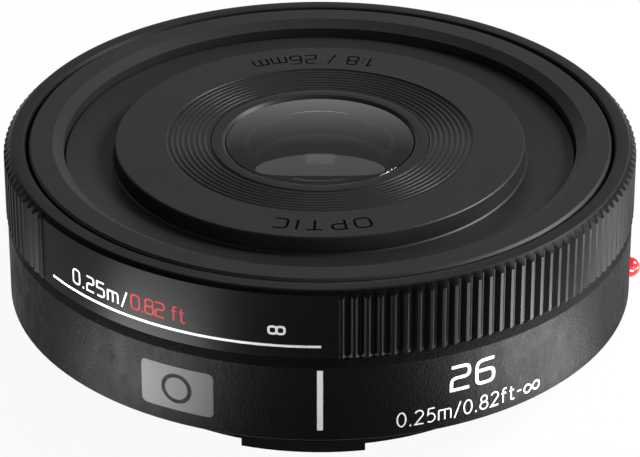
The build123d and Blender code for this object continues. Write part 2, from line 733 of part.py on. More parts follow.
def front_glass():
    """Front element, with a shoulder round its face for the retaining ring."""
    face_edge = retainer_low + FRONT_GLASS_RISE
    clears = (FRONT_GLASS_REAR_CLEAR, FRONT_GLASS_FACE)
    curves = (FRONT_GLASS_REAR_CURVE, FRONT_GLASS_CURVE)
    body = glass(FRONT_GLASS_RADIUS, cell_flange_top, face_edge, clears, curves)
    return body - ring(FRONT_GLASS_FACE, neck_radius, retainer_low, retainer_top)


inner_clears = (INNER_GLASS_CLEAR, INNER_GLASS_CLEAR)
rear_clears = (REAR_GLASS_CLEAR, REAR_GLASS_CLEAR)
cam_followers, follower_rollers = followers_and_rollers()

nodes = {
    "bayonet_mount": bayonet_mount(),
    "mount_screws": screws(MOUNT_SCREW, mount_screw_places),
    "outer_barrel": outer_barrel(),
    "index_bead": index_bead(),
    "rear_baffle": rear_baffle(),
    "baffle_screws": screws(BAFFLE_SCREW, baffle_screw_places),
    "guide_tube": guide_tube(),
    "guide_screws": screws(GUIDE_SCREW, guide_screw_places),
    "front_bezel": front_bezel(),
    "bezel_screws": screws(BEZEL_SCREW, bezel_screw_places),
    "stop_pin": stop_pin(),
    "lower_slip_washer": ring(guide_radius + RING_GAP, cam_radius, guide_flange_top, washer_top),
    "upper_slip_washer": ring(
        cam_bore + SEAT_GAP, cam_radius, upper_washer_low, upper_washer_low + UPPER_WASHER
    ),
    "focus_ring": focus_ring(),
    "cam_ring": cam_ring(),
    "ring_screws": screws(RING_SCREW, ring_screw_places),
    "lens_cell": lens_cell(),
    "cam_followers": cam_followers,
    "follower_rollers": follower_rollers,
    "cover_tape": ring(TAPE_INNER, TAPE_OUTER, cell_flange_top, cover_low),
    "front_cover": front_cover(),
    "cover_felt": ring(
        trough_radius - FELT_DEPTH, trough_radius + SLIDE_FIT, felt_low, felt_low + FELT_HEIGHT
    ),
    "front_retainer": front_retainer(),
    "lens_element_1": front_glass(),
    "lens_element_2": glass(
        SECOND_GLASS_RADIUS, second_glass_low, second_glass_high, SECOND_GLASS_CLEAR, SECOND_GLASS_CURVES
    ),
    "lens_element_3": glass(
        INNER_GLASS_RADIUS, third_glass_low, third_glass_high, inner_clears, THIRD_GLASS_CURVES
    ),
    "lens_element_4": glass(
        INNER_GLASS_RADIUS, fourth_glass_low, fourth_glass_high, inner_clears, FOURTH_GLASS_CURVES
    ),
    "lens_element_5": glass(
        REAR_GLASS_RADIUS, rear_glass_low, rear_glass_high, rear_clears, REAR_GLASS_CURVES
    ),
    "front_spacer": ring(
        SECOND_GLASS_RADIUS - SPACER_WALL, SECOND_GLASS_RADIUS, second_glass_high, cell_flange_top
    ),
    "aperture_stop": ring(STOP_HOLE, INNER_GLASS_RADIUS, stop_low, stop_high),
    "stop_spacer": ring(INNER_GLASS_RADIUS - SPACER_WALL, INNER_GLASS_RADIUS, third_glass_high, stop_low),
    "middle_spacer": ring(
        INNER_GLASS_RADIUS - SPACER_WALL, INNER_GLASS_RADIUS, fourth_glass_high, third_glass_low
    ),
    "rear_spacer": ring(
        INNER_GLASS_RADIUS - SPACER_WALL, INNER_GLASS_RADIUS, rear_glass_high, fourth_glass_low
    ),
    "rear_retainer": ring(REAR_GLASS_CLEAR, REAR_GLASS_RADIUS, cell_rear, rear_glass_low),
}

os.makedirs("parts", exist_ok=True)
for name, shape in nodes.items():
    export_step(shape, f"parts/{name}.step")
    print(f"{name}: {len(shape.solids())} solid(s)")
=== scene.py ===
import json
import math

import bmesh
import bpy
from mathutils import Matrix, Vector

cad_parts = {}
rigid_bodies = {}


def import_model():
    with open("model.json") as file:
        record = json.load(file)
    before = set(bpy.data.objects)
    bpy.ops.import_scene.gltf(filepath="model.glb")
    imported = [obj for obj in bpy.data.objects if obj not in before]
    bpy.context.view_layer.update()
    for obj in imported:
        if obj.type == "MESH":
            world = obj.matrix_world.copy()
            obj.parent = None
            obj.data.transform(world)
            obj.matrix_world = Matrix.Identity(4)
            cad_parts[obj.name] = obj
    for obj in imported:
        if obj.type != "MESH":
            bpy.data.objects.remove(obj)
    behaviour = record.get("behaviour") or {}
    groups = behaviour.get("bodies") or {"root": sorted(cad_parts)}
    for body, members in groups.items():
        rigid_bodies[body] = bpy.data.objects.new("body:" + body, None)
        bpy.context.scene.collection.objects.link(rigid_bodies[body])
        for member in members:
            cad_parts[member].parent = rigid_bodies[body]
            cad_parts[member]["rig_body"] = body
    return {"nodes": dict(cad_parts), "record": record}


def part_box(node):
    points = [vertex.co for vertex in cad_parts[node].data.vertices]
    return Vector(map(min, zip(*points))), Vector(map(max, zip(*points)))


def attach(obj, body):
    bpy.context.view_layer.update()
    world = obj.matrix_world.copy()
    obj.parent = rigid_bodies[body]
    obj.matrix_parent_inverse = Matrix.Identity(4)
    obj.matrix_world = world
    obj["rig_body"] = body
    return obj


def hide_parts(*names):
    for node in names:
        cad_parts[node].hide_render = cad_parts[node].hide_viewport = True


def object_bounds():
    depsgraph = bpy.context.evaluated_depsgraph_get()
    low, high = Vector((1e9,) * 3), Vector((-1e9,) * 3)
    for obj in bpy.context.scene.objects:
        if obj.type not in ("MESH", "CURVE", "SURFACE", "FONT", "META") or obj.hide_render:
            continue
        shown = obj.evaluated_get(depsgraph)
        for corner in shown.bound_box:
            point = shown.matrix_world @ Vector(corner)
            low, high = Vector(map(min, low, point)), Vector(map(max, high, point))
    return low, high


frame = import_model()

# A slim prime lens. Metres, in the CAD frame: +Z points at the subject, and azimuths are counted in
# degrees from the front of the barrel (-Y) towards +X.

cad_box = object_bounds()
nodes = frame["nodes"]
body_of_node = {node: obj["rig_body"] for node, obj in nodes.items()}
slot_of_node = {part["node"]: part["material_slot"] for part in frame["record"]["subparts"]}

MM = 0.001

# Heights and radii that the frame gives
ring_low, ring_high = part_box("focus_ring")
BARREL_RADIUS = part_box("outer_barrel")[1].x
CREST_RADIUS = ring_high.x
FRONT_PLANE = ring_high.z
FLOOR_HEIGHT = cad_box[0].z

# Ribs of the focus ring, as the design has them
SCALE_DROP = 0.3 * MM
SCALE_RADIUS = CREST_RADIUS - SCALE_DROP
RIB_POSITIONS = 160
RIBS = 133
FIRST_RIB = 3.3
RIB_DEPTH = 0.45 * MM
RIB_CREST = 0.34 * MM
RIB_FLANK = 0.42 * MM
RING_BEVEL = 0.8 * MM
RING_REAR_EDGE = 0.2 * MM

# Rounding of the edges that the CAD nodes leave sharp
TURNED_EDGE = 0.04 * MM
GLASS_EDGE = 0.08 * MM
RIB_EDGE = 0.05 * MM
EDGE_STEPS = 3
SMOOTH_TURN = 25.0            # a profile that turns less than this at a point is a curve there
CORNER_REACH = 0.45           # a rounded corner takes at most this share of the sides beside it

LATHE_STEPS = 360
GLASS_STEPS = 192

# The band of turned grooves in the cover
GROOVES_INSIDE = 11.65 * MM
GROOVES_OUTSIDE = 16.45 * MM


# ---- shader nodes -------------------------------------------------------------------------


def put(tree, socket, value):
    """Links an output to a socket, or sets a plain value on it."""
    if isinstance(value, bpy.types.NodeSocket):
        tree.links.new(value, socket)
    else:
        socket.default_value = value


def math_node(tree, operation, first, second=0.0):
    made = tree.nodes.new("ShaderNodeMath")
    made.operation = operation
    put(tree, made.inputs[0], first)
    put(tree, made.inputs[1], second)
    return made.outputs[0]


def grey(value):
    """A linear grey, or a linear colour, with full alpha."""
    return (*value, 1.0) if isinstance(value, (tuple, list)) else (value, value, value, 1.0)


def scaled(colour, factor):
    return [c * factor for c in colour]


# ---- materials ----------------------------------------------------------------------------

NOISE_LOW, NOISE_HIGH = 0.3, 0.7      # nearly all of a noise texture lies between these

CLOUD_SIZE = 6 * MM           # faint wide clouds in a black finish
GRAIN_SIZE = 0.06 * MM        # grain of a blasted surface
GRAIN_DEPTH = 0.001 * MM
TOOL_MARK_PITCH = 0.09 * MM   # rings that a lathe tool leaves in anodised metal
TOOL_MARK_DEPTH = 0.0006 * MM
BARE_MARK_PITCH = 0.05 * MM   # the same in bare metal
BARE_MARK_DEPTH = 0.0012 * MM


class Finish:
    """A principled material under construction."""

    def __init__(self, name):
        self.name = name
        self.material = bpy.data.materials.new(name)
        self.material.use_nodes = True
        self.tree = self.material.node_tree
        self.shader = self.tree.nodes["Principled BSDF"]
        self.place = self.node("ShaderNodeTexCoord").outputs["Object"]

    def node(self, kind, **settings):
        made = self.tree.nodes.new(kind)
        for name, value in settings.items():
            setattr(made, name, value)
        return made

    def put(self, socket, value):
        put(self.tree, socket, value)

    def set(self, **values):
        """Sets the shader's sockets: base_color=..., roughness=..., and so on."""
        for name, value in values.items():
            socket = next(s for s in self.shader.inputs if s.name.lower().replace(" ", "_") == name)
            self.put(socket, value)
        return self

    def math(self, operation, first, second=0.0):
        return math_node(self.tree, operation, first, second)

    def stretched(self, along):
        """Coordinates on the piece, with its grain stretched along Z."""
        made = self.node("ShaderNodeMapping")
        self.put(made.inputs["Vector"], self.place)
        made.inputs["Scale"].default_value = (1, 1, 1 / along)
        return made.outputs["Vector"]

    def noise(self, size, detail=3.0, place=None, roughness=0.55):
        """Soft noise from 0 to 1, with features about that many metres across."""
        made = self.node("ShaderNodeTexNoise")
        self.put(made.inputs["Vector"], place or self.place)
        made.inputs["Scale"].default_value = 1 / size
        made.inputs["Detail"].default_value = detail
        made.inputs["Roughness"].default_value = roughness
        return made.outputs["Fac"]

    def tool_marks(self, pitch):
        """Noise in rings round the optical axis."""
        made = self.node("ShaderNodeTexNoise", noise_dimensions="1D")
        self.put(made.inputs["W"], self.radius())
        made.inputs["Scale"].default_value = 1 / pitch
        made.inputs["Detail"].default_value = 2.0
        return made.outputs["Fac"]

    def islands(self, size, place):
        made = self.node("ShaderNodeTexVoronoi", feature="SMOOTH_F1")
        self.put(made.inputs["Vector"], place)
        made.inputs["Scale"].default_value = 1 / size
        return made.outputs["Distance"]

    def ramp(self, factor, dark, light, low=NOISE_LOW, high=NOISE_HIGH):
        """Grey or colour that goes from dark at factor low to light at factor high."""
        made = self.node("ShaderNodeValToRGB")
        self.put(made.inputs["Fac"], factor)
        first, last = made.color_ramp.elements
        first.position, last.position = low, high
        first.color, last.color = grey(dark), grey(light)
        return made.outputs["Color"]

    def remap(self, factor, to_low, to_high, low=NOISE_LOW, high=NOISE_HIGH):
        """Number that goes from to_low at factor low to to_high at factor high."""
        made = self.node("ShaderNodeMapRange")
        for socket, value in zip(made.inputs, (factor, low, high, to_low, to_high)):
            self.put(socket, value)
        return made.outputs[0]

    def clouded(self, shade, spread=0.08):
        """A grey that varies by that share of itself over wide clouds."""
        return self.ramp(self.noise(CLOUD_SIZE, 2.0), shade * (1 - spread), shade * (1 + spread))

    def mix(self, factor, first, second):
        made = self.node("ShaderNodeMix", data_type="RGBA")
        self.put(made.inputs["Factor"], factor)
        self.put(made.inputs["A"], first)
        self.put(made.inputs["B"], second)
        return made.outputs["Result"]

    def bump(self, *layers):
        """Bump from (height, depth in metres) layers."""
        normal = None
        for height, depth in layers:
            made = self.node("ShaderNodeBump")
            made.inputs["Strength"].default_value = 1.0
            made.inputs["Distance"].default_value = depth
            self.put(made.inputs["Height"], height)
            if normal:
                self.put(made.inputs["Normal"], normal)
            normal = made.outputs["Normal"]
        self.put(self.shader.inputs["Normal"], normal)
        return self

    def radius(self):
        """Distance from the optical axis."""
        made = self.node("ShaderNodeSeparateXYZ")
        self.put(made.inputs[0], self.place)
        across = self.math("MULTIPLY", made.outputs["X"], made.outputs["X"])
        along = self.math("MULTIPLY", made.outputs["Y"], made.outputs["Y"])
        return self.math("SQRT", self.math("ADD", across, along))


def satin_black(name, shade, specular, roughness, turned=False):
    """Blasted and anodised metal: an even black with a fine grain that breaks its gloss.

    A turned piece also has the faint rings of the lathe tool.
    """
    finish = Finish(name)
    fine = finish.noise(GRAIN_SIZE, 4.0)
    finish.set(base_color=finish.clouded(shade), specular_ior_level=specular)
    finish.set(roughness=finish.remap(fine, roughness - 0.05, roughness + 0.07))
    rings = [(finish.tool_marks(TOOL_MARK_PITCH), TOOL_MARK_DEPTH)] if turned else []
    return finish.bump(*rings, (fine, GRAIN_DEPTH))


def grooved_black(name, blasted, turned, specular):
    """Blasted metal with a band of turned grooves, which the tool leaves darker and glossier."""
    finish = Finish(name)
    radius = finish.radius()
    inside = finish.math("GREATER_THAN", radius, GROOVES_INSIDE)
    outside = finish.math("LESS_THAN", radius, GROOVES_OUTSIDE)
    band = finish.math("MULTIPLY", inside, outside)
    fine = finish.noise(GRAIN_SIZE, 4.0)
    cut_face = finish.ramp(fine, turned * 0.8, turned * 1.2)
    rough = finish.remap(fine, 0.36, 0.46)
    finish.set(base_color=finish.mix(band, finish.clouded(blasted), cut_face))
    finish.set(roughness=finish.math("SUBTRACT", rough, finish.math("MULTIPLY", band, 0.08)))
    return finish.set(specular_ior_level=specular).bump((fine, GRAIN_DEPTH))


def ring_black(name, front, side, specular):
    """The ring in blasted black, with painted light: its front face is painted a lighter lit grey and its
    side a deeper black as painted shade.
    """
    finish = Finish(name)
    place = finish.node("ShaderNodeSeparateXYZ")
    finish.put(place.inputs[0], finish.place)
    # painted light: near the front plane the base colour turns from the side's painted shade to the front
    # face's painted lit grey
    facing = finish.remap(place.outputs["Z"], 0.0, 1.0, FRONT_PLANE - RING_BEVEL / 4, FRONT_PLANE)
    fine = finish.noise(GRAIN_SIZE, 4.0)
    finish.set(base_color=finish.mix(facing, finish.clouded(side, 0.15), finish.clouded(front)))
    finish.set(roughness=finish.remap(fine, 0.34, 0.44), specular_ior_level=specular)
    return finish.bump((fine, GRAIN_DEPTH))


def crackle_black(name, shade, specular, roughness):
    """Barrel paint: a fine crackle of small raised islands, a little longer along the axis."""
    finish = Finish(name)
    place = finish.stretched(1.7)
    fine = finish.noise(0.14 * MM, 3.0, place, 0.6)
    cloud = finish.noise(1.6 * MM, 4.0, place, 0.7)
    finish.set(base_color=finish.ramp(fine, shade * 0.5, shade * 2.0, low=0.35))
    finish.set(roughness=finish.remap(cloud, roughness - 0.1, roughness + 0.12))
    finish.set(specular_ior_level=specular)
    return finish.bump((finish.islands(0.3 * MM, place), -0.02 * MM), (fine, 0.06 * MM))


def matt_plastic(name, colour, roughness):
    """Moulded plastic with a fine spark-eroded grain."""
    finish = Finish(name)
    fine = finish.noise(0.12 * MM, 3.0)
    cloud = finish.noise(4 * MM, 2.0)
    finish.set(base_color=finish.ramp(cloud, scaled(colour, 0.9), scaled(colour, 1.1)))
    finish.set(roughness=finish.remap(fine, roughness - 0.06, roughness + 0.06), specular_ior_level=0.3)
    return finish.bump((fine, 0.004 * MM))


def metal(name, colour, roughness):
    """Bare metal, with turning marks round the axis and small clouds in its gloss."""
    finish = Finish(name)
    cloud = finish.noise(3 * MM, 3.0)
    finish.set(base_color=finish.ramp(cloud, scaled(colour, 0.88), colour, 0.25, 0.75), metallic=1.0)
    finish.set(roughness=finish.remap(cloud, roughness - 0.04, roughness + 0.06))
    return finish.bump((finish.tool_marks(BARE_MARK_PITCH), BARE_MARK_DEPTH))


def felt(name, shade):
    finish = Finish(name)
    fibres = finish.noise(0.08 * MM, 6.0, roughness=0.75)
    finish.set(base_color=finish.ramp(fibres, shade * 0.5, shade * 1.8, high=0.75), roughness=0.95)
    finish.set(specular_ior_level=0.1, sheen_weight=0.3, sheen_roughness=0.5)
    return finish.bump((fibres, 0.05 * MM))


def bead_red(name):
    """Clear red moulding, glossy, with a deeper red below the surface."""
    finish = Finish(name)
    cloud = finish.noise(0.5 * MM, 2.0)
    finish.set(base_color=finish.ramp(cloud, (0.55, 0.006, 0.01), (0.75, 0.012, 0.016)))
    finish.set(roughness=finish.remap(cloud, 0.16, 0.22), coat_weight=0.15, coat_roughness=0.1)
    return finish.bump((finish.noise(0.3 * MM, 2.0), 0.002 * MM))


def shade_tinted_glass(name):
    """Optical glass with a dark grey tint that is painted shade for the dark inside of the lens, and a
    faint coating; the tint breaks up over wide clouds.
    """
    finish = Finish(name)
    cloud = finish.noise(5 * MM, 2.0)
    # painted shade: the dark grey base colour darkens all light that passes through the glass
    finish.set(base_color=finish.ramp(cloud, (0.11, 0.115, 0.12), (0.13, 0.13, 0.135)))
    finish.set(roughness=finish.remap(cloud, 0.0, 0.004), transmission_weight=1.0, ior=1.52)
    return finish.set(coat_weight=0.5, coat_roughness=0.02, coat_ior=1.5)


def print_paint(name, colour, roughness=0.6, specular=0.08):
    """Screen-printed paint, with a slightly uneven film."""
    finish = Finish(name)
    film = finish.noise(0.12 * MM, 3.0)
    finish.set(base_color=finish.ramp(film, scaled(colour, 0.93), colour))
    finish.set(roughness=roughness, specular_ior_level=specular)
    return finish.bump((film, 0.002 * MM))


finishes = {finish.name: finish.material for finish in (
    satin_black("mount_black", shade=0.004, specular=0.05, roughness=0.35),
    crackle_black("barrel_black", shade=0.002, specular=0.026, roughness=0.46),
    # front is the front face's painted lit grey, side is the side's painted shade
    ring_black("ring_black", front=0.019, side=0.002, specular=0.04),
    satin_black("bezel_black", shade=0.014, specular=0.16, roughness=0.46),
    grooved_black("cover_black", blasted=0.014, turned=0.011, specular=0.15),
    satin_black("retainer_black", shade=0.014, specular=0.12, roughness=0.38, turned=True),
    matt_plastic("baffle_black", (0.012, 0.012, 0.012), roughness=0.75),
    matt_plastic("guide_black", (0.02, 0.02, 0.02), roughness=0.6),
    matt_plastic("cell_black", (0.008, 0.008, 0.008), roughness=0.8),
    metal("cam_metal", (0.35, 0.35, 0.36), roughness=0.35),
    metal("roller_brass", (0.8, 0.58, 0.25), roughness=0.22),
    metal("pin_steel", (0.6, 0.6, 0.61), roughness=0.25),
    metal("screw_steel", (0.55, 0.55, 0.56), roughness=0.3),
    satin_black("screw_black", shade=0.015, specular=0.5, roughness=0.32),
    matt_plastic("washer_white", (0.8, 0.8, 0.78), roughness=0.45),
    matt_plastic("tape", (0.08, 0.08, 0.08), roughness=0.85),
    felt("felt_black", shade=0.015),
    bead_red("bead_red"),
    shade_tinted_glass("optical_glass"),
)}
white_print = print_paint("white_print", (0.55, 0.55, 0.54)).material
red_print = print_paint("red_print", (0.2, 0.008, 0.008)).material
badge_grey = print_paint("badge_grey", (0.048, 0.048, 0.048)).material
engraving_dark = print_paint("engraving_dark", (0.003, 0.003, 0.003), roughness=0.8, specular=0.0).material

for node, obj in nodes.items():
    for material_slot in obj.material_slots:
        material_slot.material = finishes[slot_of_node[node]]


# ---- turned pieces ------------------------------------------------------------------------


SAME_POINT = 1e-7             # points nearer than this are one
ON_SEAM = 2e-7                # how far points of the seam may lie from its plane
ON_AXIS = 1e-9                # a radius below this is on the axis


def seam_outline(node):
    """Outline of a turned node in the half-plane y = 0, x >= 0, as (radius, height) points.

    An open outline starts at its outermost end and a closed one at its outermost point, the higher
    of two. Each goes to its higher neighbour first.
    """
    mesh = bmesh.new()
    mesh.from_mesh(nodes[node].data)
    bmesh.ops.remove_doubles(mesh, verts=mesh.verts, dist=SAME_POINT)
    beside = {}
    for edge in mesh.edges:
        if all(abs(v.co.y) < ON_SEAM and v.co.x > -ON_AXIS for v in edge.verts):
            start, end = ((round(max(v.co.x, 0.0), 9), round(v.co.z, 9)) for v in edge.verts)
            beside.setdefault(start, []).append(end)
            beside.setdefault(end, []).append(start)
    mesh.free()
    ends = [point for point, others in beside.items() if len(others) == 1]
    outline = [max(ends or beside)]
    while True:
        onward = [point for point in beside[outline[-1]] if point not in outline]
        if not onward:
            return outline
        outline.append(max(onward, key=lambda point: (point[1], point[0])))


def turn_at(before, here, after):
    """Angle in degrees by which a path turns at a point."""
    first = Vector(here) - Vector(before)
    second = Vector(after) - Vector(here)
    return math.degrees(first.angle(second, 0.0))


def rounded(points, radius, closed=True, steps=EDGE_STEPS, sharp=SMOOTH_TURN):
    """The path with its sharp corners rounded. There is one radius for all points, or one for each."""
    count = len(points)
    radii = radius if isinstance(radius, (list, tuple)) else [radius] * count
    out = []
    for k, here in enumerate(points):
        if not closed and k in (0, count - 1):
            out.append(Vector(here))
            continue
        before, after = points[k - 1], points[(k + 1) % count]
        bend = turn_at(before, here, after)
        if bend < sharp or radii[k] <= 0:
            out.append(Vector(here))
            continue
        here = Vector(here)
        back, forth = Vector(before) - here, Vector(after) - here
        reach = radii[k] * math.tan(math.radians(bend) / 2)
        reach = min(reach, CORNER_REACH * back.length, CORNER_REACH * forth.length)
        start, end = here + back.normalized() * reach, here + forth.normalized() * reach
        for step in range(steps + 1):
            t = step / steps
            out.append(start * (1 - t) ** 2 + here * 2 * t * (1 - t) + end * t ** 2)
    return out


def new_piece(name, points, faces, material, body, slot, smooth=True):
    mesh = bpy.data.meshes.new(name)
    mesh.from_pydata([tuple(p) for p in points], [], faces)
    mesh.validate()
    mesh.shade_smooth() if smooth else mesh.shade_flat()
    mesh.materials.append(material)
    obj = bpy.data.objects.new(name, mesh)
    bpy.context.scene.collection.objects.link(obj)
    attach(obj, body)
    return obj


def face_outwards(obj):
    mesh = bmesh.new()
    mesh.from_mesh(obj.data)
    bmesh.ops.recalc_face_normals(mesh, faces=mesh.faces)
    mesh.to_mesh(obj.data)
    mesh.free()


FLAT_WEIGHT = 60              # how much large faces lead in the shading


def keep_flats_flat(obj):
    """Flat faces stay flat in the shading, and the rounded edges between them turn smoothly."""
    weighted = obj.modifiers.new("flats", "WEIGHTED_NORMAL")
    weighted.mode = "FACE_AREA_WITH_ANGLE"
    weighted.weight = FLAT_WEIGHT
    weighted.keep_sharp = True


def lathe(name, outline, material, body, slot, steps=LATHE_STEPS):
    """Solid turned about Z from an outline, which is closed unless it starts and ends on the axis."""
    is_open = outline[0][0] < ON_AXIS and outline[-1][0] < ON_AXIS
    points, rings = [], []
    for radius, height in outline:
        if radius < ON_AXIS:
            rings.append([len(points)] * steps)
            points.append((0, 0, height))
            continue
        rings.append([len(points) + k for k in range(steps)])
        for k in range(steps):
            angle = math.tau * k / steps
            points.append((radius * math.cos(angle), radius * math.sin(angle), height))
    faces = []
    pairs = list(zip(rings, rings[1:]))
    if not is_open:
        pairs.append((rings[-1], rings[0]))
    for first, second in pairs:
        for k in range(steps):
            n = (k + 1) % steps
            corners = [first[k], first[n], second[n], second[k]]
            faces.append([c for i, c in enumerate(corners) if c not in corners[:i]])
    obj = new_piece(name, points, faces, material, body, slot)
    face_outwards(obj)
    keep_flats_flat(obj)
    return obj


def turned_again(node, edge, steps=LATHE_STEPS):
    """A finer copy of a turned node, with its edges rounded, which stands for it."""
    outline = seam_outline(node)
    outline = rounded(outline, edge, closed=outline[0][0] > ON_AXIS)
    slot = slot_of_node[node]
    obj = lathe(node + "_turned", outline, finishes[slot], body_of_node[node], slot, steps)
    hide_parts(node)
    return obj


cover = turned_again("front_cover", TURNED_EDGE)
turned_again("front_retainer", TURNED_EDGE)
for number in range(1, 6):
    turned_again(f"lens_element_{number}", GLASS_EDGE, GLASS_STEPS)


# ---- focus ring ---------------------------------------------------------------------------


UPRIGHT_STEP = 0.001          # degrees between the foot and the top of an upright side
THINNEST_EDGE = 0.02 * MM     # of the rear edge, where the outside is cut below it


def rib_path():
    """(azimuth, radius) stations round the ring's outside: rounded ribs, then the smooth scale area."""
    pitch = 360 / RIB_POSITIONS
    crest = math.degrees(RIB_CREST / CREST_RADIUS)
    flank = math.degrees(RIB_FLANK / CREST_RADIUS)
    floor_radius = CREST_RADIUS - RIB_DEPTH
    corners = [(FIRST_RIB, SCALE_RADIUS)]
    for rib in range(RIBS):
        left = FIRST_RIB + rib * pitch
        corners += [(left + UPRIGHT_STEP, CREST_RADIUS), (left + crest, CREST_RADIUS)]
        if rib < RIBS - 1:
            corners += [(left + crest + flank, floor_radius), (left + pitch - flank, floor_radius)]
    corners.append((corners[-1][0] + UPRIGHT_STEP, SCALE_RADIUS))
    flat = [(math.radians(azimuth) * CREST_RADIUS, radius) for azimuth, radius in corners]
    path = rounded(flat, RIB_EDGE, closed=False, steps=2)
    stations = [(math.degrees(along / CREST_RADIUS), radius) for along, radius in path]
    start = corners[-1][0]
    gap = FIRST_RIB + 360 - start
    count = int(gap)          # about one station a degree
    return stations + [(start + gap * k / count, SCALE_RADIUS) for k in range(1, count)]


# From the top of the outer bevel to the foot of the bore
RING_INSIDE = seam_outline("focus_ring")[1:]


def ring_profile(radius):
    """The ring's section where its outside has that radius, with the same number of points anywhere."""
    low = ring_low.z
    edge = max(radius - (CREST_RADIUS - RING_REAR_EDGE), THINNEST_EDGE)
    high = FRONT_PLANE - RING_BEVEL + (CREST_RADIUS - radius)
    outside = [(radius - edge, low), (radius, low + edge), (radius, high)]
    return rounded([*outside, *RING_INSIDE], TURNED_EDGE, steps=2)


def ribbed_ring():
    """The focus ring with rounded ribs, lofted through its section at each station."""
    stations = rib_path()
    profiles = {}
    points, faces = [], []
    for azimuth, radius in stations:
        key = round(radius, 8)
        if key not in profiles:
            profiles[key] = ring_profile(radius)
        profile = profiles[key]
        angle = math.radians(azimuth)
        points += [(r * math.sin(angle), -r * math.cos(angle), z) for r, z in profile]
    count = len(next(iter(profiles.values())))
    total = len(stations)
    for k in range(total):
        n = (k + 1) % total
        for j in range(count):
            m = (j + 1) % count
            faces.append((k * count + j, k * count + m, n * count + m, n * count + j))
    material = finishes["ring_black"]
    obj = new_piece("focus_ring_grip", points, faces, material, "focus_ring", "ring_black")
    face_outwards(obj)
    keep_flats_flat(obj)
    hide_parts("focus_ring")


ribbed_ring()


# ---- marks --------------------------------------------------------------------------------


def oval(x, y, across, up, start=0, sweep=360, count=20):
    """Points on an oval, from an angle in degrees, counted anticlockwise from +X."""
    turns = [math.radians(start + sweep * k / count) for k in range(count + (sweep < 360))]
    return [(x + across * math.cos(a), y + up * math.sin(a)) for a in turns]


def figure_eight(across, up, count=40):
    """Points on a lying figure of eight: a lemniscate, made fuller upwards."""
    fuller = 1.4
    points = []
    for k in range(count):
        turn = math.tau * k / count
        reach = 1 + math.sin(turn) ** 2
        rise = up * math.sin(turn) * math.cos(turn) / reach * fuller
        points.append((across + across * math.cos(turn) / reach, 0.5 * up + rise))
    return points


# Each glyph is (width, strokes) at a cap height of 1. A stroke is (points, corner radius, closed).
W = 0.62                      # width of most numerals
SQUARE = {
    "0": (W, [([(0, 0), (W, 0), (W, 1), (0, 1)], 0.24, True)]),
    "1": (0.28, [([(0, 0.8), (0.24, 1), (0.24, 0)], 0, False)]),
    "2": (W, [([(0, 1), (W, 1), (W, 0.52), (0, 0.52), (0, 0), (W, 0)],
               (0, 0.24, 0.24, 0.24, 0, 0), False)]),
    "5": (W, [([(W, 1), (0, 1), (0, 0.57), (W, 0.57), (W, 0), (0, 0)],
               (0, 0, 0, 0.24, 0.24, 0), False)]),
    "6": (W, [([(W, 1), (0, 1), (0, 0), (W, 0), (W, 0.56), (0, 0.56)],
               (0, 0.3, 0.24, 0.24, 0.24, 0), False)]),
    "8": (W, [([(0, 0), (W, 0), (W, 0.53), (0, 0.53)], 0.2, True),
              ([(0.03, 0.53), (W - 0.03, 0.53), (W - 0.03, 1), (0.03, 1)], 0.2, True)]),
    "m": (0.84, [([(0, 0), (0, 0.72), (0.42, 0.72), (0.42, 0)], (0, 0.04, 0.16, 0), False),
                 ([(0.3, 0.72), (0.84, 0.72), (0.84, 0)], (0, 0.16, 0), False)]),
    "f": (0.38, [([(0.4, 1), (0.14, 1), (0.14, 0)], (0, 0.16, 0), False),
                 ([(0, 0.68), (0.36, 0.68)], 0, False)]),
    "t": (0.38, [([(0.14, 0.95), (0.14, 0), (0.4, 0)], (0, 0.16, 0), False),
                 ([(0, 0.68), (0.36, 0.68)], 0, False)]),
    ".": (0.1, [([(0.05, -0.07), (0.05, 0.07)], 0, False)]),
    ":": (0.1, [([(0.05, 0.05), (0.05, 0.19)], 0, False), ([(0.05, 0.55), (0.05, 0.69)], 0, False)]),
    "/": (0.42, [([(0, -0.08), (0.42, 1.06)], 0, False)]),
    "-": (0.34, [([(0, 0.42), (0.34, 0.42)], 0, False)]),
    "∞": (1.0, [([(0, 0), (0.5, 0), (0.5, 0.5), (0, 0.5)], 0.2, True),
                ([(0.5, 0), (1.0, 0), (1.0, 0.5), (0.5, 0.5)], 0.2, True)]),
    "O": (0.8, [([(0, 0), (0.8, 0), (0.8, 1), (0, 1)], 0.34, True)]),
    "P": (0.66, [([(0, 0), (0, 1), (0.66, 1), (0.66, 0.42), (0, 0.42)],
                  (0, 0, 0.28, 0.28, 0), False)]),
    "T": (0.74, [([(0.37, 0), (0.37, 1)], 0, False), ([(0, 1), (0.74, 1)], 0, False)]),
    "I": (0.0, [([(0, 0), (0, 1)], 0, False)]),
    "C": (0.7, [([(0.7, 1), (0, 1), (0, 0), (0.7, 0)], (0, 0.34, 0.34, 0), False)]),
    " ": (0.2, []),
}
ROUND = {
    **SQUARE,
    "0": (0.56, [(oval(0.28, 0.5, 0.28, 0.5), 0, True)]),
    "2": (0.54, [([*oval(0.27, 0.73, 0.27, 0.27, 160, -190, 10), (0, 0), (0.56, 0)], 0, False)]),
    "5": (0.54, [([(0.5, 1), (0.1, 1), (0.06, 0.55),
                   *oval(0.24, 0.32, 0.3, 0.32, 105, -235, 12)], 0, False)]),
    "8": (0.56, [(oval(0.28, 0.76, 0.22, 0.24), 0, True), (oval(0.28, 0.27, 0.28, 0.27), 0, True)]),
    "∞": (1.3, [(figure_eight(0.65, 0.62), 0, True)]),
}


SLIMMEST_MITRE = 0.4          # cosine at which a mitred corner stops growing longer


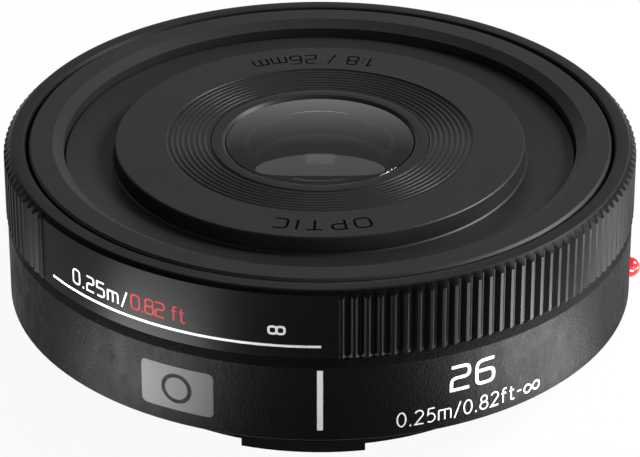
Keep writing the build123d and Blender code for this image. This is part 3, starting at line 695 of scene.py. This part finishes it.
def ribbon(path, width, closed, low, high, place):
    """Closed solid along a flat path: place(u, v, height) puts each of its points."""
    count = len(path)
    sides = []
    for k in range(count):
        before = path[k - 1] if closed or k > 0 else None
        after = path[(k + 1) % count] if closed or k < count - 1 else None
        here = path[k]
        tangents = []
        if before is not None:
            tangents.append((here - before).normalized())
        if after is not None:
            tangents.append((after - here).normalized())
        mean = sum(tangents, Vector((0, 0))).normalized()
        reach = width / 2 / max(mean.dot(tangents[0]), SLIMMEST_MITRE)
        across = Vector((-mean.y, mean.x)) * reach
        sides.append((here + across, here - across))
    points, faces = [], []
    for left, right in sides:
        points += [place(*left, high), place(*right, high), place(*right, low), place(*left, low)]
    for k in range(count if closed else count - 1):
        a, b = 4 * k, 4 * ((k + 1) % count)
        for j in range(4):
            m = (j + 1) % 4
            faces.append((a + j, a + m, b + m, b + j))
    if not closed:
        end = 4 * (count - 1)
        faces += [(3, 2, 1, 0), (end, end + 1, end + 2, end + 3)]
    return points, faces


def divided(path, closed, step):
    """The path with points added so that none of its steps is longer than that."""
    out = []
    ends = list(zip(path, [*path[1:], path[0]] if closed else path[1:]))
    for start, end in ends:
        pieces = max(1, math.ceil((end - start).length / step))
        out += [start.lerp(end, k / pieces) for k in range(pieces)]
    return out if closed else [*out, path[-1]]


GLYPH_BEND = 40.0             # a glyph's corner that turns less than this is already round


def strokes_of(text, font, height, length, wide=1.0):
    """The text's strokes as (path, closed), in metres: spaced to that length and centred on 0."""
    widths = [font[letter][0] * wide * height for letter in text]
    spacing = (length - sum(widths)) / max(len(text) - 1, 1)
    strokes, at = [], -length / 2
    for letter, width in zip(text, widths):
        for points, radius, closed in font[letter][1]:
            corners = [Vector((x * wide, y)) for x, y in points]
            path = rounded(corners, radius, closed, steps=5, sharp=GLYPH_BEND)
            strokes.append(([Vector((p.x * height + at, p.y * height)) for p in path], closed))
        at += width + spacing
    return strokes


STROKE_STEP = 0.35 * MM       # short enough to follow the barrel's curve
FILM = 0.02 * MM              # thickness of the printed film above the surface
SUNK = 0.04 * MM              # how far the film's piece reaches below the surface
FILM_LAYER = 0.001 * MM       # where two strokes cross, one lies this far above the other


def printed(name, strokes, stroke, place, material, body, slot):
    """One piece made of ribbons; place(u, v, height) carries a flat point onto the surface."""
    points, faces = [], []
    for k, (path, closed) in enumerate(strokes):
        path = divided(path, closed, STROKE_STEP)
        made, around = ribbon(path, stroke, closed, -SUNK, FILM + k % 3 * FILM_LAYER, place)
        faces += [tuple(c + len(points) for c in face) for face in around]
        points += made
    face_outwards(new_piece(name, points, faces, material, body, slot, smooth=False))


def round_wall(radius, azimuth, height):
    """Carries (along, up, out) onto a cylinder, centred at an azimuth and a height."""

    def place(along, up, out):
        angle = math.radians(azimuth) + along / radius
        r = radius + out
        return (r * math.sin(angle), -r * math.cos(angle), height + up)

    return place


def round_face(radius, azimuth, height):
    """Carries (along, up, out) onto a flat face, along a circle.

    The far side's letters have their tops towards the centre, the near side's away from it.
    """

    def place(along, up, out):
        if abs(azimuth) > 90:
            r, angle = radius - up, math.radians(azimuth) + along / radius
        else:
            r, angle = radius + up, math.radians(azimuth) - along / radius
        return (r * math.sin(angle), -r * math.cos(angle), height + out)

    return place


def label(name, text, font, place, material, body, slot, *, cap, stroke, length, wide=1.0):
    """Printed text: cap height and length are measured between the middles of its strokes."""
    strokes = strokes_of(text, font, cap, length, wide)
    printed(name, strokes, stroke, place, material, body, slot)


def level_stroke(radius, start, end):
    """A level stroke from one azimuth to another, for a wall centred on azimuth 0."""
    ends = [Vector((math.radians(azimuth) * radius, 0)) for azimuth in (start, end)]
    return [(ends, False)]


# The scale on the focus ring: near limit, infinity and the travel line below them
ON_RING = ("focus_ring", "ring_black")
SCALE_CAP = 1.62 * MM
TRAVEL_LINE = (-55.2, 0.2)    # azimuths of its ends
printed(
    "travel_line", level_stroke(SCALE_RADIUS, *TRAVEL_LINE), 0.27 * MM,
    round_wall(SCALE_RADIUS, 0, 11.75 * MM), white_print, *ON_RING,
)
label(
    "near_limit_metres", "0.25m/", SQUARE,
    round_wall(SCALE_RADIUS, -42.3, 12.65 * MM), white_print, *ON_RING,
    cap=SCALE_CAP, stroke=0.19 * MM, length=7.7 * MM,
)
label(
    "near_limit_feet", "0.82 ft", SQUARE,
    round_wall(SCALE_RADIUS, -29.3, 12.8 * MM), red_print, *ON_RING,
    cap=SCALE_CAP, stroke=0.2 * MM, length=6.3 * MM,
)
label(
    "infinity_mark", "∞", SQUARE,
    round_wall(SCALE_RADIUS, -7.45, 13.1 * MM), white_print, *ON_RING,
    cap=SCALE_CAP, stroke=0.24 * MM, length=SCALE_CAP,
)

# The barrel: index line, focal length and focus range
ON_BARREL = ("barrel", "barrel_black")
INDEX_HEIGHT = 7.0 * MM
printed(
    "index_line", [([Vector((0, 0)), Vector((0, INDEX_HEIGHT))], False)], 0.6 * MM,
    round_wall(BARREL_RADIUS, 0, 2.05 * MM), white_print, *ON_BARREL,
)
label(
    "focal_length", "26", SQUARE,
    round_wall(BARREL_RADIUS, 27.5, 5.05 * MM), white_print, *ON_BARREL,
    cap=2.66 * MM, stroke=0.36 * MM, length=4.9 * MM, wide=1.22,
)
label(
    "focus_range", "0.25m/0.82ft-∞", ROUND,
    round_wall(BARREL_RADIUS, 27.8, 1.85 * MM), white_print, *ON_BARREL,
    cap=1.6 * MM, stroke=0.155 * MM, length=16.8 * MM,
)


# The badge: a grey rounded field on the barrel, with a plain ring left open in it
BADGE_AZIMUTH = -25.7
BADGE_HEIGHT = 4.95 * MM
BADGE_SIZE = (8.2 * MM, 5.1 * MM)
BADGE_CORNER = 0.7 * MM
BADGE_RING = 1.5 * MM
BADGE_RING_WIDTH = 0.45 * MM
BADGE_STEP = 1.0 * MM         # width of the strips in which the badge follows the barrel


def circle(radius, count=64):
    turns = [math.tau * k / count for k in range(count)]
    return [Vector((radius * math.cos(a), radius * math.sin(a))) for a in turns]


def slab(name, outlines, place, material, body, slot):
    """A thin slab on a curved wall, from a flat outline and the outlines of what is left open in it."""
    mesh = bmesh.new()
    loops = []
    for outline in outlines:
        corners = [mesh.verts.new((p.x, p.y, 0)) for p in outline]
        loops += [mesh.edges.new((corners[k - 1], corners[k])) for k in range(len(corners))]
    bmesh.ops.triangle_fill(mesh, use_beauty=True, edges=loops)
    width = max(p.x for p in outlines[0])
    for k in range(int(-width / BADGE_STEP), int(width / BADGE_STEP) + 1):
        whole = [*mesh.verts, *mesh.edges, *mesh.faces]
        cut_at = (k * BADGE_STEP, 0, 0)
        bmesh.ops.bisect_plane(mesh, geom=whole, plane_co=cut_at, plane_no=(1, 0, 0))
    solid = bmesh.ops.extrude_face_region(mesh, geom=list(mesh.faces))
    top = {v for v in solid["geom"] if isinstance(v, bmesh.types.BMVert)}
    for vert in mesh.verts:
        vert.co = place(vert.co.x, vert.co.y, FILM if vert in top else -SUNK)
    bmesh.ops.recalc_face_normals(mesh, faces=mesh.faces)
    obj = new_piece(name, [], [], material, body, slot, smooth=False)
    mesh.to_mesh(obj.data)
    mesh.free()


half_x, half_y = BADGE_SIZE[0] / 2, BADGE_SIZE[1] / 2
badge_corners = ((-half_x, -half_y), (half_x, -half_y), (half_x, half_y), (-half_x, half_y))
badge_outline = rounded([Vector(corner) for corner in badge_corners], BADGE_CORNER, steps=8)
ring_outside = circle(BADGE_RING + BADGE_RING_WIDTH / 2)
ring_inside = circle(BADGE_RING - BADGE_RING_WIDTH / 2)
on_badge = round_wall(BARREL_RADIUS, BADGE_AZIMUTH, BADGE_HEIGHT)
slab("badge_field", [badge_outline, ring_outside], on_badge, badge_grey, *ON_BARREL)
slab("badge_centre", [ring_inside], on_badge, badge_grey, *ON_BARREL)


# ---- engraving ----------------------------------------------------------------------------


CUT_EDGE = 40.0               # edges that turn more than this stay sharp after a cut


def cut(obj, cutter):
    """Cuts one mesh out of another for good, and the cut faces keep the cutter's material."""
    boolean = obj.modifiers.new("cut", "BOOLEAN")
    boolean.object = cutter
    boolean.operation = "DIFFERENCE"
    boolean.solver = "EXACT"
    boolean.use_self = True
    boolean.material_mode = "TRANSFER"
    obj.modifiers.move(len(obj.modifiers) - 1, 0)
    for other in obj.modifiers:
        other.show_viewport = other == boolean
    shape = obj.evaluated_get(bpy.context.evaluated_depsgraph_get())
    whole = bpy.data.meshes.new_from_object(shape)
    obj.modifiers.remove(boolean)
    for other in obj.modifiers:
        other.show_viewport = True
    obj.data = whole
    obj.data.set_sharp_from_angle(angle=math.radians(CUT_EDGE))
    bpy.data.objects.remove(cutter)


ENGRAVING_DEPTH = 0.06 * MM
DISC_CAP = 1.95 * MM
DISC_PLANE = max(height for radius, height in seam_outline("front_cover"))
DISC_WORDS = (                # text, stroke width, length, radius of its foot, azimuth
    ("1:8 / 26mm", 0.22 * MM, 14.0 * MM, 19.75 * MM, 182.2),
    ("OPTIC", 0.26 * MM, 9.5 * MM, 18.25 * MM, 0.7),
)


def engraving_tool():
    """All the disc's letters as one piece that reaches from above the disc into it."""
    mesh = bmesh.new()
    for text, width, length, radius, azimuth in DISC_WORDS:
        place = round_face(radius, azimuth, DISC_PLANE)
        for path, closed in strokes_of(text, SQUARE, DISC_CAP, length):
            path = divided(path, closed, STROKE_STEP)
            points, faces = ribbon(path, width, closed, -ENGRAVING_DEPTH, ENGRAVING_DEPTH, place)
            corners = [mesh.verts.new(p) for p in points]
            for face in faces:
                mesh.faces.new([corners[c] for c in face])
    bmesh.ops.recalc_face_normals(mesh, faces=mesh.faces)
    obj = new_piece("engraving_tool", [], [], engraving_dark, "lens_unit", "cover_black", smooth=False)
    mesh.to_mesh(obj.data)
    mesh.free()
    return obj


cut(cover, engraving_tool())


# ---- stage --------------------------------------------------------------------------------


FLOOR_SIZE = 3.0
FLOOR_SHADE = 0.8
FLOOR_GLOW = 0.94             # the rest of the floor is plain pale paint, and takes the shadow


def stage_white(name):
    """White that the camera, gloss and glass see as the background, and that still takes a shadow."""
    material = bpy.data.materials.new(name)
    material.use_nodes = True
    tree = material.node_tree
    tree.nodes.clear()
    output = tree.nodes.new("ShaderNodeOutputMaterial")
    ray = tree.nodes.new("ShaderNodeLightPath").outputs
    seen = math_node(tree, "MAXIMUM", ray["Is Camera Ray"], ray["Is Glossy Ray"])
    seen = math_node(tree, "MAXIMUM", seen, ray["Is Transmission Ray"])
    paint = tree.nodes.new("ShaderNodeBsdfDiffuse")
    paint.inputs["Color"].default_value = grey(FLOOR_SHADE)
    glow = tree.nodes.new("ShaderNodeEmission")
    glow.inputs["Color"].default_value = grey(1.0)
    glow.inputs["Strength"].default_value = 1.0
    mixed = tree.nodes.new("ShaderNodeMixShader")
    tree.links.new(math_node(tree, "MULTIPLY", seen, FLOOR_GLOW), mixed.inputs[0])
    tree.links.new(paint.outputs[0], mixed.inputs[1])
    tree.links.new(glow.outputs[0], mixed.inputs[2])
    tree.links.new(mixed.outputs[0], output.inputs[0])
    return material


def stage_floor():
    half = FLOOR_SIZE / 2
    corners = ((-half, -half), (half, -half), (half, half), (-half, half))
    mesh = bpy.data.meshes.new("floor")
    mesh.from_pydata([(x, y, FLOOR_HEIGHT) for x, y in corners], [], [(0, 1, 2, 3)])
    mesh.materials.append(stage_white("stage_white"))
    floor = bpy.data.objects.new("floor", mesh)
    bpy.context.scene.collection.objects.link(floor)


stage_floor()

AMBIENT = 0.03
ROOM_GLOW = 0.2               # what gloss sees above the white backdrop
BACKDROP_TOP = (5.0, 30.0)    # elevations in degrees between which the backdrop fades into the room


def studio_world():
    """White for the camera; gloss and glass see a white backdrop below a dimmer room."""
    world = bpy.data.worlds.new("studio")
    world.use_nodes = True
    tree = world.node_tree
    ray = tree.nodes.new("ShaderNodeLightPath").outputs
    direction = tree.nodes.new("ShaderNodeSeparateXYZ")
    place = tree.nodes.new("ShaderNodeTexCoord")
    tree.links.new(place.outputs["Generated"], direction.inputs[0])
    backdrop = tree.nodes.new("ShaderNodeMapRange")
    tree.links.new(direction.outputs["Z"], backdrop.inputs["Value"])
    backdrop.inputs["From Min"].default_value = math.sin(math.radians(BACKDROP_TOP[0]))
    backdrop.inputs["From Max"].default_value = math.sin(math.radians(BACKDROP_TOP[1]))
    backdrop.inputs["To Min"].default_value = 1.0
    backdrop.inputs["To Max"].default_value = ROOM_GLOW
    gloss = math_node(tree, "MAXIMUM", ray["Is Glossy Ray"], ray["Is Transmission Ray"])
    reflected = math_node(tree, "MULTIPLY", gloss, backdrop.outputs[0])
    seen = math_node(tree, "MAXIMUM", ray["Is Camera Ray"], reflected)
    strength = math_node(tree, "MAXIMUM", seen, AMBIENT)
    background = tree.nodes["Background"]
    background.inputs["Color"].default_value = grey(1.0)
    tree.links.new(strength, background.inputs["Strength"])
    return world


bpy.context.scene.world = studio_world()


def towards(azimuth, elevation):
    """Unit vector from the lens towards an azimuth and an elevation."""
    a, e = math.radians(azimuth), math.radians(elevation)
    return Vector((math.sin(a) * math.cos(e), -math.cos(a) * math.cos(e), math.sin(e)))


LIGHT_DISTANCE = 0.6
LIGHT_TARGET = Vector((0, 0, FRONT_PLANE / 2))
CARD_LIFT = 0.5 * MM          # above the floor


def area_light(name, width, height, radiance, shape="RECTANGLE"):
    data = bpy.data.lights.new(name, "AREA")
    data.shape = shape
    data.size, data.size_y = width, height
    data.energy = radiance * math.pi * width * height
    obj = bpy.data.objects.new(name, data)
    bpy.context.scene.collection.objects.link(obj)
    return obj


def softbox(name, azimuth, elevation, width, height, radiance, shape="RECTANGLE"):
    """Area light that faces the lens."""
    obj = area_light(name, width, height, radiance, shape)
    away = towards(azimuth, elevation)
    obj.location = LIGHT_TARGET + away * LIGHT_DISTANCE
    obj.rotation_mode = "QUATERNION"
    obj.rotation_quaternion = away.to_track_quat("Z", "Y")


def low_card(name, azimuth, distance, width, depth, radiance):
    """A lit card that lies on the floor, facing up. The barrel reflects it; the camera doesn't see it."""
    obj = area_light(name, width, depth, radiance)
    a = math.radians(azimuth)
    obj.location = (distance * math.sin(a), -distance * math.cos(a), FLOOR_HEIGHT + CARD_LIFT)
    obj.rotation_euler = (math.pi, 0, a)
    obj.visible_camera = False


softbox("key", azimuth=100, elevation=38, width=0.24, height=0.2, radiance=42.0)
softbox("front", azimuth=42, elevation=15, width=0.42, height=0.1, radiance=10.0)
softbox("back", azimuth=180, elevation=37, width=0.13, height=0.062, radiance=0.32, shape="ELLIPSE")
softbox("high_back", azimuth=180, elevation=62, width=0.2, height=0.16, radiance=3.5)
low_card("right_card", azimuth=54, distance=0.06, width=0.026, depth=0.04, radiance=50.0)
low_card("right_far_card", azimuth=84, distance=0.09, width=0.04, depth=0.05, radiance=22.0)
low_card("left_card", azimuth=-44, distance=0.051, width=0.026, depth=0.02, radiance=40.0)


# ---- camera -------------------------------------------------------------------------------

CAMERA_DISTANCE = 0.394       # to the middle of the front plane
CAMERA_ELEVATION = 27.6
CAMERA_PITCH = 29.05          # below the horizon
CAMERA_LENS = 208.0
CAMERA_SENSOR = 36.0
CAMERA_NEAREST = 0.01

camera = bpy.data.objects.new("camera", bpy.data.cameras.new("camera"))
camera.data.lens = CAMERA_LENS
camera.data.sensor_width = CAMERA_SENSOR
camera.data.clip_start = CAMERA_NEAREST
camera.location = Vector((0, 0, FRONT_PLANE)) + towards(0, CAMERA_ELEVATION) * CAMERA_DISTANCE
camera.rotation_euler = (math.radians(90 - CAMERA_PITCH), 0, 0)
bpy.context.scene.collection.objects.link(camera)
bpy.context.scene.camera = camera
bpy.context.scene.view_settings.view_transform = "Standard"
